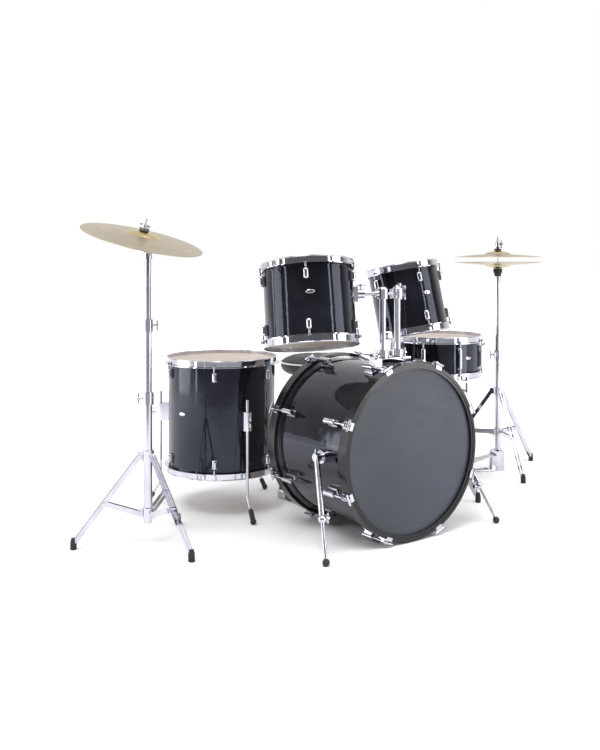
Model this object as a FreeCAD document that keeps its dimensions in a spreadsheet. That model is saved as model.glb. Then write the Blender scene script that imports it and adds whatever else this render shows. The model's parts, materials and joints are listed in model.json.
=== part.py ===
import FreeCAD, Part
import math
import os
import re

import Sketcher

# Five-piece acoustic drum kit, in millimetres.
# +Z is up, the audience is at -Y and the drummer sits at +Y.
# The origin is on the floor, under the rear edge of the bass drum's batter hoop,
# where the bass pedal's plate carries that hoop.

DIMENSIONS = {
    # drums
    "bass_diameter": 558.8,
    "bass_depth": 406.4,
    "bass_wall": 7.5,
    "bass_floor_gap": 4.5,
    "floor_tom_diameter": 406.4,
    "floor_tom_depth": 406.4,
    "left_tom_diameter": 304.8,
    "left_tom_depth": 254.0,
    "right_tom_diameter": 254.0,
    "right_tom_depth": 228.6,
    "snare_diameter": 355.6,
    "snare_depth": 139.7,
    "shell_wall": 6.5,
    # bass drum hoops and their claws
    "bass_hoop_width": 38.0,
    "bass_hoop_thick": 11.0,
    "bass_hoop_proud": 11.8,
    "bass_hoop_gap": 8.2,
    "bass_lug_count": 8,
    "claw_thick": 3.0,
    "claw_width": 26.0,
    "rod_diameter": 6.0,
    # heads and pressed hoops of the toms and snare
    "head_thick": 0.8,
    "flesh_hoop": 5.0,
    "hoop_wall": 2.4,
    "hoop_height": 24.0,
    "hoop_flange": 11.0,
    "hoop_rise": 12.0,
    "hoop_clearance": 3.5,
    "tom_lug_count": 5,
    "floor_tom_lug_count": 6,
    "snare_lug_count": 8,
    "lug_height": 38.0,
    "lug_width": 18.0,
    "lug_depth": 17.0,
    # places of the drums
    "floor_tom_x": -277.0,
    "floor_tom_y": 344.0,
    "floor_tom_clear": 157.0,
    "left_tom_x": -278.0,
    "left_tom_y": -215.0,
    "left_tom_z": 794.0,
    "left_tom_turn": 70.0,
    "left_bracket_turn": -91.0,
    "right_tom_x": 193.0,
    "right_tom_y": -192.0,
    "right_tom_z": 796.0,
    "right_tom_turn": 110.0,
    "right_bracket_turn": 106.0,
    "tom_tilt": 12.0,
    "snare_x": 545.0,
    "snare_y": 18.0,
    "snare_bottom": 474.0,
    # tom holder on the bass drum
    "holder_y": -310.0,
    "post_spread": 34.0,
    "post_diameter": 22.2,
    "post_wall": 2.0,
    "post_inside": 120.0,
    "post_top": 812.0,
    "arm_diameter": 12.7,
    "arm_height": 830.0,
    # spurs
    "spur_y": -306.0,
    "spur_foot_x": 388.0,
    "spur_foot_y": -446.0,
    "spur_diameter": 14.0,
    # running clearances
    "sliding_gap": 0.08,
    "seat_gap": 0.3,
    # floor tom legs
    "leg_rod": 10.0,
    "leg_stand_off": 34.0,
    "leg_splay": 52.0,
    "leg_first_angle": 261.0,
    # stands
    "tube_large": 28.6,
    "tube_wall": 1.6,
    "strip_width": 16.0,
    "strip_thick": 1.6,
    "strip_gap": 11.0,
    "foot_diameter": 22.0,
    "foot_height": 38.0,
    # crash stand
    "crash_x": -728.0,
    "crash_y": 80.0,
    "crash_first_angle": 276.7,
    "crash_leg_reach": 241.0,
    "crash_collar_low": 500.0,
    "crash_collar_high": 743.0,
    "crash_tilter_height": 985.0,
    "crash_offset": 40.0,
    "crash_axis_turn": 22.4,
    "crash_lean": 16.4,
    "crash_rod_length": 58.0,
    "crash_diameter": 406.4,
    "cymbal_thick": 1.6,
    # hi-hat
    "hihat_x": 1031.0,
    "hihat_y": 116.0,
    "hihat_first_angle": 245.6,
    "hihat_leg_reach": 258.0,
    "hihat_pedal_turn": 160.0,
    "hihat_seat_height": 893.0,
    "hihat_open": 22.0,
    "hihat_diameter": 381.0,
    "hihat_rod_top": 1045.0,
    "pull_rod": 6.4,
    "hinge_pin": 5.0,
    # snare stand
    "snare_first_angle": 30.0,
    "snare_leg_reach": 232.0,
    # throne
    "throne_x": 296.0,
    "throne_y": 472.0,
    "throne_top": 529.0,
    "throne_diameter": 350.0,
    "throne_thick": 78.0,
    "throne_leg_reach": 255.0,
    "throne_first_angle": 75.0,
    # bass pedal
    "pedal_width": 84.0,
    "pedal_length": 285.0,
    "pedal_axle_y": 34.5,
    "pedal_axle_height": 186.0,
    "beater_length": 150.0,
    "beater_rest_lean": 38.0,
}

doc = FreeCAD.newDocument("DrumKit")
sheet = doc.addObject("Spreadsheet::Sheet", "Sizes")
for row, (alias, number) in enumerate(DIMENSIONS.items(), start=1):
    sheet.set(f"A{row}", alias)
    sheet.set(f"B{row}", str(number))
    sheet.setAlias(f"B{row}", alias)
doc.recompute()

ALIASES = re.compile(r"\b(" + "|".join(sorted(DIMENSIONS, key=len, reverse=True)) + r")\b")
NODES = []


def formula(text):
    """Turns words of the size list into references to the sheet."""
    return ALIASES.sub(lambda found: "Sizes." + found.group(1), str(text))


def number(text):
    """The number that a formula over the size list gives."""
    return float(sheet.evalExpression(formula(text)))


def place(x=0, y=0, z=0, yaw=0, pitch=0, roll=0):
    """A placement formula: turn about X by roll, about Y by pitch, about Z by yaw, then move."""
    return formula(f"placement(vector({x}; {y}; {z}); rotation({yaw}; {pitch}; {roll}))")


def part(kind, where=None, **sizes):
    item = doc.addObject("Part::" + kind, kind)
    for name, text in sizes.items():
        item.setExpression(name, formula(text))
    if where is not None:
        item.setExpression("Placement", where)
    return item


def combine(kind, where, **inputs):
    item = doc.addObject("Part::" + kind, kind)
    for name, value in inputs.items():
        setattr(item, name, value)
    if where is not None:
        item.setExpression("Placement", where)
    return item


def rod(radius, length, where=None):
    return part("Cylinder", where, Radius=radius, Height=length)


def cone(low, high, length, where=None):
    return part("Cone", where, Radius1=low, Radius2=high, Height=length)


def ring(major, minor, where=None):
    return part("Torus", where, Radius1=major, Radius2=minor)


def ball(radius, where=None):
    return part("Sphere", where, Radius=radius)


def group(pieces, where=None):
    return combine("Compound", where, Links=pieces)


def join(pieces, where=None):
    return combine("MultiFuse", where, Shapes=pieces)


def cut(base, tools, where=None):
    tool = tools if not isinstance(tools, list) else group(tools)
    return combine("Cut", where, Base=base, Tool=tool)


def common(pieces, where=None):
    return combine("MultiCommon", where, Shapes=pieces)


def block(x, y, z, where=None):
    """A box centred on its own X and Y, standing on Z = 0 of its placement."""
    box = part("Box", place(f"-({x}) / 2", f"-({y}) / 2"), Length=x, Width=y, Height=z)
    return group([box], where) if where is not None else box


def copy_at(piece, where):
    """The same solid again at another place."""
    link = doc.addObject("App::Link", "Copy")
    link.LinkedObject = group([piece])
    link.setExpression("Placement", where)
    return link


def around(piece, count, first=0, where=None):
    """Equal copies of a solid about Z, the first one turned by first degrees."""
    total = round(number(count))
    copies = [copy_at(piece, place(yaw=f"{first} + {index} * 360 / {total}")) for index in range(total)]
    return group(copies, where)


def tube(outer_radius, wall, length, where=None):
    outside = rod(outer_radius, length)
    inside = rod(f"{outer_radius} - ({wall})", f"{length} + 2", place(z=-1))
    return cut(outside, inside, where)


def band(outer_radius, inner_radius, length, where=None):
    outside = rod(outer_radius, length)
    inside = rod(inner_radius, f"{length} + 2", place(z=-1))
    return cut(outside, inside, where)


def aim(start, end):
    """The length from one point to another, and the placement that turns Z along that line."""
    run = [number(b) - number(a) for a, b in zip(start, end)]
    length = math.sqrt(sum(step * step for step in run))
    pitch = math.degrees(math.acos(run[2] / length))
    yaw = math.degrees(math.atan2(run[1], run[0]))
    return length, place(*start, yaw=yaw, pitch=pitch)


def strut(start, end, radius, wall=None):
    """A straight rod, or a tube where it has a wall, between two points."""
    length, where = aim(start, end)
    return rod(radius, length, where) if wall is None else tube(radius, wall, length, where)


def wing_screw(where):
    """A T-shaped wing screw that points along Z of its placement."""
    shank = rod(3.5, 16)
    hub = rod(6, 9, place(z=10))
    wings = rod(3.2, 34, place(x=-17, z=15, pitch=90))
    return join([shank, hub, wings], where)


def node(name, item):
    item.Label = name
    NODES.append((name, item))
    return item


def drum_sketch(body, radii):
    """Concentric circles on the body's own XY plane, each bound to its radius."""
    sketch = body.newObject("Sketcher::SketchObject", "Outline")
    plane = next(face for face in body.Origin.OriginFeatures if face.Role == "XY_Plane")
    sketch.AttachmentSupport = [(plane, "")]
    sketch.MapMode = "FlatFace"
    for index, radius in enumerate(radii):
        circle = Part.Circle(FreeCAD.Vector(0, 0, 0), FreeCAD.Vector(0, 0, 1), number(radius))
        sketch.addGeometry(circle, False)
        sketch.addConstraint(Sketcher.Constraint("Coincident", index, 3, -1, 1))
        sketch.addConstraint(Sketcher.Constraint("Radius", index, number(radius)))
        last = sketch.ConstraintCount - 1
        sketch.setExpression(f"Constraints[{last}]", formula(radius))
    return sketch


def padded(radii, length, where=None):
    """A body padded from concentric circles, half its length each side of the XY plane."""
    body = doc.addObject("PartDesign::Body", "Body")
    sketch = drum_sketch(body, radii)
    pad = body.newObject("PartDesign::Pad", "Pad")
    pad.Profile = sketch
    pad.Midplane = True
    pad.setExpression("Length", formula(length))
    body.Tip = pad
    if where is not None:
        body.setExpression("Placement", where)
    return body


# Drums. Each one is made about its own Z axis with Z = 0 at mid-shell, then placed.

def pressed_hoop(diameter, depth, count, first):
    """A flanged steel hoop above the top bearing edge, with its rod holes."""
    inner = f"{diameter} / 2 + hoop_clearance"
    low = f"{depth} / 2 + hoop_rise - hoop_height"
    wall = band(f"{inner} + hoop_wall", inner, "hoop_height", place(z=low))
    flange = band(f"{inner} + hoop_wall + hoop_flange", f"{inner} + 0.5", "hoop_wall", place(z=low))
    lip = ring(f"{inner} + hoop_wall", "hoop_wall * 0.95", place(z=f"{low} + hoop_height"))
    hole = rod("rod_diameter / 2 + 0.3", "hoop_wall + 2", place(f"{diameter} / 2 + lug_depth - 5", 0, f"{low} - 1"))
    return cut(join([wall, flange, lip]), around(hole, count, first))


def tom_head(diameter, depth):
    """A drum head: its film on the bearing edge and its collar round the shell."""
    film = rod(f"{diameter} / 2 + hoop_clearance - 0.5", "head_thick", place(z=f"{depth} / 2"))
    collar = band(f"{diameter} / 2 + hoop_clearance - 0.5", f"{diameter} / 2 + 0.5", "flesh_hoop + 3",
                  place(z=f"{depth} / 2 - flesh_hoop - 3"))
    return join([film, collar])


def lug(diameter, height):
    """A lug casing beside the shell at +X, rounded at both ends, centred on Z = 0."""
    middle = f"{diameter} / 2 + lug_depth - 5 - 4"
    straight = f"{height} - lug_width"
    foot = part("Box", place(f"{diameter} / 2 + seat_gap", "-lug_width / 2", f"-({height}) / 2 + 2"),
                Length="lug_depth - 9", Width="lug_width", Height=f"{height} - 4")
    barrel = rod("lug_width / 2", straight, place(middle, 0, f"-({straight}) / 2"))
    ends = [ball("lug_width / 2", place(middle, 0, f"{side} * ({straight}) / 2")) for side in (-1, 1)]
    nose = join([barrel] + ends)
    keep = part("Box", place(f"{diameter} / 2 + seat_gap", "-lug_width", f"-({height})"),
                Length="lug_depth * 2", Width="lug_width * 2", Height=f"2 * ({height})")
    return common([join([foot, nose]), keep])


def tension_rod(diameter, depth, reach):
    """A rod from its square head on the hoop's flange down to its lug."""
    flange = f"{depth} / 2 + hoop_rise - hoop_height"
    shank = rod("rod_diameter / 2", f"{reach} + hoop_wall", place(z=f"{flange} - ({reach})"))
    washer = rod("rod_diameter * 0.8", 2, place(z=f"{flange} + hoop_wall"))
    key_head = block("rod_diameter", "rod_diameter", 7, place(z=f"{flange} + hoop_wall + 2"))
    return join([shank, washer, key_head], place(x=f"{diameter} / 2 + lug_depth - 5"))


def both_ends(make):
    """The same piece at the top and, turned over, at the bottom."""
    upper = make()
    return [upper, copy_at(upper, place(roll=180))]



def drum_nodes(prefix, diameter, depth, count, first, where, brackets=None):
    """The shell, heads, hoops and lugs of a tom, floor tom or snare drum, with its brackets if it has any."""
    node(prefix + "_shell", padded([f"{diameter} / 2", f"{diameter} / 2 - shell_wall"], depth, where))
    node(prefix + "_heads", group(both_ends(lambda: tom_head(diameter, depth)), where))
    top = pressed_hoop(diameter, depth, count, first)
    bottom = pressed_hoop(diameter, depth, count, f"-({first})")
    node(prefix + "_hoops", group([top, copy_at(bottom, place(roll=180))], where))
    reach = "14 - 0.3"
    height = "lug_height"
    low_z = f"{depth} / 2 - hoop_height + hoop_rise - 14 - lug_height / 2"
    if prefix == "snare":
        height = f"{depth} - 2 * (hoop_height - hoop_rise + 14)"
        low_z = "0"
    casing = lug(diameter, height)
    screw = tension_rod(diameter, depth, reach)
    screws = around(screw, count, first)
    low_screws = around(screw, count, f"-({first})")
    pieces = [screws, copy_at(low_screws, place(roll=180))]
    if prefix == "snare":
        pieces.append(around(casing, count, first))
    else:
        raised = copy_at(casing, place(z=low_z))
        pieces.append(around(raised, count, first))
        pieces.append(copy_at(around(raised, count, f"-({first})"), place(roll=180)))
    cased = group(pieces, where)
    node(prefix + "_lugs", group([cased] + brackets) if brackets else cased)


# Bass drum, laid down so that its own Z points at the audience.

BASS = place(0, "-(bass_depth / 2 + bass_hoop_proud)",
             "bass_floor_gap + bass_diameter / 2 + bass_hoop_gap + bass_hoop_thick", roll=90)
BASS_Z = "bass_floor_gap + bass_diameter / 2 + bass_hoop_gap + bass_hoop_thick"
HOOP_OUT = "bass_diameter / 2 + bass_hoop_gap + bass_hoop_thick"
ROD_OUT = f"{HOOP_OUT} + 10"


def bass_shell():
    body = padded(["bass_diameter / 2", "bass_diameter / 2 - bass_wall"], "bass_depth", BASS)
    holes = []
    for side in (-1, 1):
        holes.append(rod("post_diameter / 2 + 1", "bass_diameter", place(f"{side} * post_spread", "holder_y", BASS_Z)))
    return cut(body, holes)


def bass_head():
    film = rod("bass_diameter / 2 + bass_hoop_gap - 1.2", "head_thick", place(z="bass_depth / 2"))
    collar = band("bass_diameter / 2 + bass_hoop_gap - 1.2", "bass_diameter / 2 + 0.5",
                  "bass_hoop_width - bass_hoop_proud + 5",
                  place(z="bass_depth / 2 - (bass_hoop_width - bass_hoop_proud + 5)"))
    return join([film, collar])


def bass_hoop():
    low = "bass_depth / 2 + bass_hoop_proud - bass_hoop_width"
    wall = band(HOOP_OUT, f"{HOOP_OUT} - bass_hoop_thick", "bass_hoop_width", place(z=low))
    step = band(f"{HOOP_OUT} - bass_hoop_thick + 0.5", "bass_diameter / 2 - 1", "bass_hoop_proud - head_thick - 2",
                place(z="bass_depth / 2 + head_thick + 0.2"))
    return join([wall, step])


def claw():
    """A claw hooked over the hoop, with its ear and T-rod, beside the shell at +X."""
    front = "bass_depth / 2 + bass_hoop_proud"
    strap = part("Box", place(f"{HOOP_OUT} + seat_gap", "-claw_width / 2", f"{front} - bass_hoop_width + 4"),
                 Length="claw_thick", Width="claw_width", Height="bass_hoop_width - 4 + claw_thick + seat_gap")
    lip = part("Box", place(f"{HOOP_OUT} - bass_hoop_thick + 2", "-claw_width / 2", f"{front} + seat_gap"),
               Length="bass_hoop_thick - 2 + claw_thick + seat_gap", Width="claw_width", Height="claw_thick")
    ear = rod(8, 14, place(ROD_OUT, 0, f"{front} - bass_hoop_width + 12"))
    web = part("Box", place(f"{HOOP_OUT} + seat_gap", -8, f"{front} - bass_hoop_width + 12"),
               Length=9, Width=16, Height=14)
    return cut(join([strap, lip, ear, web]), rod("rod_diameter / 2 + 0.2", 60, place(ROD_OUT, 0, f"{front} - 60")))


def bass_rod():
    front = "bass_depth / 2 + bass_hoop_proud"
    lug_top = "bass_depth / 2 - 60"
    shank = rod("rod_diameter / 2", f"({front} - bass_hoop_width + 27) - ({lug_top}) + 12",
                place(ROD_OUT, 0, f"{lug_top} + 0.3"))
    collar = rod(6, 6, place(ROD_OUT, 0, f"{front} - bass_hoop_width + 26.3"))
    handle = rod(3.5, 40, place(ROD_OUT, 20, f"{front} - bass_hoop_width + 38", roll=90))
    return join([shank, collar, handle])


def bass_lug():
    """A tall lug: its foot on the shell and a barrel out at the rod."""
    low = "bass_depth / 2 - 60 - 52"
    foot = part("Box", place("bass_diameter / 2 + seat_gap", -11, f"{low} + 4"), Length=10, Width=22, Height=44)
    neck = part("Box", place("bass_diameter / 2 + seat_gap", -7, f"{low} + 8"),
                Length="bass_hoop_gap + bass_hoop_thick + 10", Width=14, Height=36)
    barrel = rod(9, 46, place(ROD_OUT, 0, f"{low} + 3"))
    ends = [cone(6, 9, 3, place(ROD_OUT, 0, low)), cone(9, 6, 3, place(ROD_OUT, 0, f"{low} + 49"))]
    return join([foot, neck, barrel] + ends)


half_step = "180 / bass_lug_count"
node("bass_drum_shell", bass_shell())
node("bass_drum_front_head", group([bass_head()], BASS))
node("bass_drum_batter_head", group([copy_at(bass_head(), place(roll=180))], BASS))
node("bass_drum_hoops", group(both_ends(bass_hoop), BASS))
claws = around(claw(), "bass_lug_count", half_step)
rods = around(bass_rod(), "bass_lug_count", half_step)
node("bass_drum_claws", group([claws, rods, copy_at(claws, place(roll=180)), copy_at(rods, place(roll=180))], BASS))
lugs = around(bass_lug(), "bass_lug_count", half_step)
node("bass_drum_lugs", group([lugs, copy_at(lugs, place(roll=180))], BASS))


# Spurs: a bracket each side of the shell, and a leg that folds back along the shell.

SPUR_X = "bass_diameter / 2 + 38"


def bass_saddle():
    """The room the bass drum's shell takes, with the seating gap."""
    return rod("bass_diameter / 2 + seat_gap", "bass_depth", place(0, 0, BASS_Z, roll=90))


def spur_bracket(side):
    base = rod(22, 24, place(f"{side} * (bass_diameter / 2 - 3)", "spur_y", BASS_Z, pitch=90 * side))
    lever = wing_screw(place(f"{side} * (bass_diameter / 2 + 11)", "spur_y + 26", BASS_Z, yaw=90, pitch=90))
    neck = rod(9, 10, place(f"{side} * (bass_diameter / 2 + 11)", "spur_y + 18", BASS_Z, roll=-90))
    return cut(join([base, neck, lever]), bass_saddle())


def spur(side):
    hub_x = f"{side} * ({SPUR_X})"
    hub = rod(14, 24, place(f"{side} * (bass_diameter / 2 + seat_gap + 21.3)", "spur_y", BASS_Z, pitch=90 * side))
    knee = [f"{side} * (({SPUR_X}) + 0.6 * (spur_foot_x - ({SPUR_X})))",
            "spur_y + 0.6 * (spur_foot_y - spur_y)", f"({BASS_Z}) * 0.4 + 12 * 0.6"]
    foot = [f"{side} * spur_foot_x", "spur_foot_y", 12]
    sleeve = strut([hub_x, "spur_y", BASS_Z], knee, "spur_diameter / 2 + 2.5")
    lower = strut(knee, foot, "spur_diameter / 2 - 1")
    collar = ball(14, place(*knee))
    handle = wing_screw(place(f"{knee[0]} - {side} * 8", f"{knee[1]}", f"{knee[2]}", yaw=180 if side > 0 else 0, pitch=90))
    metal = join([hub, sleeve, lower, collar, handle])
    rubber = ball(12, place(*foot))
    return group([cut(metal, ball(12.05, place(*foot))), rubber])


node("left_spur", spur(-1))
node("right_spur", spur(1))


# Double tom holder: a base on the bass drum, a post and an arm for each tom.

SHELL_TOP = f"{BASS_Z} + bass_diameter / 2"


def holder_base():
    foot = block("2 * post_spread + 64", 66, 40, place(0, "holder_y", f"{SHELL_TOP} - 12"))
    towers = [rod(21, 66, place(f"{side} * post_spread", "holder_y", f"{SHELL_TOP} - 12")) for side in (-1, 1)]
    bores = [rod("post_diameter / 2 + sliding_gap", 200, place(f"{side} * post_spread", "holder_y", f"{SHELL_TOP} - 60"))
             for side in (-1, 1)]
    screws = [wing_screw(place(f"{side} * (post_spread + 20)", "holder_y", f"{SHELL_TOP} + 40", pitch=90 * side))
              for side in (-1, 1)]
    return cut(join([foot] + towers + screws), [bass_saddle()] + bores)


def tom_post(side):
    low = f"({SHELL_TOP}) - post_inside"
    return tube("post_diameter / 2", "post_wall", f"post_top - ({low})", place(f"{side} * post_spread", "holder_y", low))


def arm_line(side, tom):
    """Length from post to tom centre and the yaw of that line."""
    run_x = number(f"{tom}_x - ({side} * post_spread)")
    run_y = number(f"{tom}_y - holder_y")
    return math.hypot(run_x, run_y), math.degrees(math.atan2(run_y, run_x))


def tom_arm(side, tom):
    reach, yaw = arm_line(side, tom)
    shell = f"{reach} - {tom}_diameter / 2"
    hub = rod(18, 34, place(z="post_top + seat_gap"))
    cap = cone(18, 13, 6, place(z="post_top + seat_gap + 34"))
    bar = rod("arm_diameter / 2", f"{shell} - 6", place(z="arm_height", pitch=90))
    collar = rod("arm_diameter / 2 + 6", 10, place(x=16, z="arm_height", pitch=90))
    screw = wing_screw(place(x=-14, z="post_top + 17", pitch=-90))
    plug = rod("post_diameter / 2 - post_wall - 0.3", 30, place(z="post_top - 29"))
    return join([hub, cap, bar, collar, screw, plug], place(f"{side} * post_spread", "holder_y", 0, yaw=yaw))


def tom_place(tom):
    return place(f"{tom}_x", f"{tom}_y", f"{tom}_z", yaw=f"{tom}_turn", pitch="tom_tilt")


def tom_bracket(side, tom):
    """The block on a tom's shell that the arm passes into."""
    reach, yaw = arm_line(side, tom)
    shell = f"{reach} - {tom}_diameter / 2"
    body = rod(16, 66, place(x=f"{shell} - 40", z="arm_height", pitch=90))
    pad = part("Box", place(f"{shell} - 14", -19, "arm_height - 26"), Length=30, Width=38, Height=52)
    bore = rod("arm_diameter / 2 + sliding_gap", 120, place(x=f"{shell} - 90", z="arm_height", pitch=90))
    screw = wing_screw(place(x=f"{shell} - 30", z="arm_height + 15"))
    made = cut(join([body, pad, screw]), bore, place(f"{side} * post_spread", "holder_y", 0, yaw=yaw))
    hull = rod(f"{tom}_diameter / 2 + seat_gap", f"{tom}_depth * 2", place(z=f"-{tom}_depth"))
    return cut(made, group([hull], tom_place(tom)))


node("bass_drum_brackets", group([spur_bracket(-1), spur_bracket(1), holder_base()]))
for side, tom in ((-1, "left_tom"), (1, "right_tom")):
    node(tom + "_post", tom_post(side))
    node(tom + "_arm", tom_arm(side, tom))
    bracket_turn = tom.replace("_tom", "_bracket_turn")
    drum_nodes(tom, f"{tom}_diameter", f"{tom}_depth", "tom_lug_count",
               f"({bracket_turn}) + 180 / tom_lug_count", tom_place(tom), [tom_bracket(side, tom)])


# Floor tom on three bent rods.

FLOOR = place("floor_tom_x", "floor_tom_y", "floor_tom_clear + floor_tom_depth / 2")
LEG_OUT = "floor_tom_diameter / 2 + leg_stand_off"


def leg_bracket():
    base = part("Box", place("floor_tom_diameter / 2 + seat_gap", -15, -34),
                Length="leg_stand_off - seat_gap", Width=30, Height=68)
    barrel = rod(14, 68, place(LEG_OUT, 0, -34))
    bore = rod("leg_rod / 2 + sliding_gap", 90, place(LEG_OUT, 0, -45))
    screw = wing_screw(place(f"{LEG_OUT} + 12", 0, 0, pitch=90))
    return cut(join([base, barrel, screw]), bore)


def floor_leg(index):
    yaw = f"leg_first_angle + {index} * 120"
    top = "floor_tom_clear + floor_tom_depth / 2 + 78"
    bend = 92
    upright = rod("leg_rod / 2", f"{top} - {bend}", place(LEG_OUT, 0, bend))
    elbow = ball("leg_rod / 2", place(LEG_OUT, 0, bend))
    foot = [f"{LEG_OUT} + leg_splay", 0, 11]
    splay = strut([LEG_OUT, 0, bend], foot, "leg_rod / 2")
    metal = join([upright, elbow, splay])
    rubber = join([ball(11, place(*foot)), strut(foot, [f"{LEG_OUT} + leg_splay * 0.55", 0, 46], 9)])
    return group([cut(metal, rubber), rubber], place("floor_tom_x", "floor_tom_y", 0, yaw=yaw))


drum_nodes("floor_tom", "floor_tom_diameter", "floor_tom_depth", "floor_tom_lug_count",
           "leg_first_angle + 180 / floor_tom_lug_count", FLOOR, [around(leg_bracket(), 3, "leg_first_angle", FLOOR)])
for index in range(3):
    node(f"floor_tom_leg_{index + 1}", floor_leg(index))


# Snare drum with its wires and throw-off.

SNARE_Z = "snare_bottom + hoop_rise + snare_depth / 2"
SNARE = place("snare_x", "snare_y", SNARE_Z)
STRAINER_TURN = -37


def strainer_body():
    plate = part("Box", place("snare_diameter / 2 + seat_gap", -14, -30), Length=14, Width=28, Height=58)
    return cut(plate, part("Box", place("snare_diameter / 2 + 6", -5, -20), Length=20, Width=10, Height=50))


def wires():
    ends = [part("Box", place(f"{side} * 128 - 7", -24, "-snare_depth / 2 - head_thick - 1.9"),
                 Length=14, Width=48, Height=1.2) for side in (-1, 1)]
    strands = [rod(0.6, 242, place(-121, -19 + 3.5 * line, "-snare_depth / 2 - head_thick - 1.3", pitch=90))
               for line in range(12)]
    return join(ends + strands, place("snare_x", "snare_y", SNARE_Z, yaw=STRAINER_TURN))


drum_nodes("snare", "snare_diameter", "snare_depth", "snare_lug_count", "180 / snare_lug_count + 8", SNARE)
snare_side = place("snare_x", "snare_y", SNARE_Z, yaw=STRAINER_TURN)
butt = copy_at(part("Box", place("snare_diameter / 2 + seat_gap", -12, -22), Length=12, Width=24, Height=36), place(yaw=180))
node("snare_strainer", group([strainer_body(), butt], snare_side))
lever = join([part("Box", place("snare_diameter / 2 + 8", -4.6, -14), Length=6, Width=9.2, Height=52),
              rod(4.4, 26, place("snare_diameter / 2 + 11", 0, 36, pitch=60))])
node("snare_strainer_lever", group([lever], snare_side))
node("snare_wires", wires())


# Tripods. Each leg is a pair of strips between two collars, ended by a rubber foot.

def leg_strips(start, end, gap, ends):
    """Two flat strips from start to end in the XZ plane, riveted together at both ends."""
    length, where = aim([start[0], 0, start[1]], [end[0], 0, end[1]])
    strips = [block("strip_width", "strip_thick", length, place(y=f"{side} * ({gap} + strip_thick) / 2"))
              for side in (-1, 1)]
    rivets = [rod(4, f"{gap} + 2 * strip_thick + 3", place(y=f"({gap} + 2 * strip_thick + 3) / 2", z=level, roll=90))
              for level in ends(length)]
    return join(strips + rivets, where)


def tripod(x, y, first, reach, top, low, radius):
    """Collars, three double-strip legs with braces, and three rubber feet."""
    ear_out = 27
    high = [ear_out, top]
    base = [ear_out, low]
    toe = [f"{reach} - 6", 26]
    middle = [f"{ear_out} + 0.56 * ({toe[0]} - {ear_out})", f"{high[1]} + 0.56 * ({toe[1]} - ({high[1]}))"]
    rivet_hole = [rod(4.1, 60, place(point[0], 30, point[1], roll=90)) for point in (high, base)]
    legs = leg_strips(high, toe, "strip_gap", lambda length: [0, length])
    brace = leg_strips(base, middle, "strip_gap + 2 * strip_thick + 0.6", lambda length: [0, length])
    legs = cut(legs, rod(4.1, 60, place(middle[0], 30, middle[1], roll=90)))
    ears = [cut(part("Box", place(f"{radius} + 1", "-(strip_gap - 0.6) / 2", f"{level} - 12"),
                     Length=f"{ear_out} + 8 - {radius} - 1", Width="strip_gap - 0.6", Height=24), rivet_hole)
            for level in (top, low)]
    collars = [join([band(f"{radius} + 5", f"{radius} + 0.05", 36, place(z=f"{level} - 18")), around(ear, 3)])
               for level, ear in zip((top, low), ears)]
    shoe = join([rod("foot_diameter / 2", 16, place(reach)),
                 cone("foot_diameter / 2", "foot_diameter / 2 - 4", "foot_height - 16", place(reach, 0, 16))])
    leg_set = around(cut(legs, shoe), 3)
    where = place(x, y, 0, yaw=first)
    steel = group(collars + [leg_set, around(brace, 3)], where)
    feet = around(shoe, 3, 0, where)
    return steel, feet


def tube_collar(x, y, level, outer, wing_yaw):
    """A clamp collar at the mouth of a tube, with its wing screw."""
    sleeve = band(f"{outer} + 5", f"{outer} + 0.05", 40, place(z=f"{level} - 34"))
    screw = wing_screw(place(x=f"{outer} + 3.5", z=f"{level} - 14", pitch=90))
    return join([sleeve, screw], place(x, y, 0, yaw=wing_yaw))


LARGE = "tube_large / 2"
MIDDLE = "(tube_large / 2 - tube_wall - sliding_gap)"
SMALL = "(tube_large / 2 - 2 * (tube_wall + sliding_gap))"


# Crash cymbal stand.

crash_steel, crash_feet = tripod("crash_x", "crash_y", "crash_first_angle", "crash_leg_reach", 296, 105, LARGE)
crash_low = tube(LARGE, "tube_wall", "crash_collar_low - 72", place("crash_x", "crash_y", 72))
crash_collar = tube_collar("crash_x", "crash_y", "crash_collar_low", LARGE, 143)
node("crash_stand_tripod", group([crash_steel, crash_low, crash_collar]))
crash_middle = tube(MIDDLE, "tube_wall", "crash_collar_high - crash_collar_low + 200",
                    place("crash_x", "crash_y", "crash_collar_low - 200"))
node("crash_stand_middle_tube", group([crash_middle, tube_collar("crash_x", "crash_y", "crash_collar_high", MIDDLE, -37)]))
crash_top_z = "crash_tilter_height - 22"
crash_upper = tube(SMALL, "tube_wall", f"({crash_top_z}) - crash_collar_high + 150",
                   place("crash_x", "crash_y", "crash_collar_high - 150"))
TILT_YAW = "crash_axis_turn + 180"


def tilter_seat():
    """The toothed disc on top of the upper tube."""
    neck = rod(f"{SMALL} + 3", 26, place(z=f"{crash_top_z} - 14"))
    plug = rod(f"{SMALL} - tube_wall - 0.3", 30, place(z=f"{crash_top_z} - 30"))
    head = ball(15, place(z="crash_tilter_height - 2"))
    disc = rod(17, 16, place(x=2, z="crash_tilter_height", pitch=90))
    made = cut(join([neck, head, disc]), rod(f"{SMALL} + 0.05", 40, place(z=f"{crash_top_z} - 40")))
    return join([made, plug], place("crash_x", "crash_y", 0, yaw=TILT_YAW))


node("crash_stand_upper_tube", group([crash_upper, tilter_seat()]))

PIVOT = ["crash_x - crash_offset * cos(crash_axis_turn)", "crash_y - crash_offset * sin(crash_axis_turn)",
         "crash_tilter_height"]
LEAN = place(*PIVOT, yaw="crash_axis_turn - 90", pitch="crash_lean")
ROD_TOP = "crash_rod_length + 42"


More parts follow.
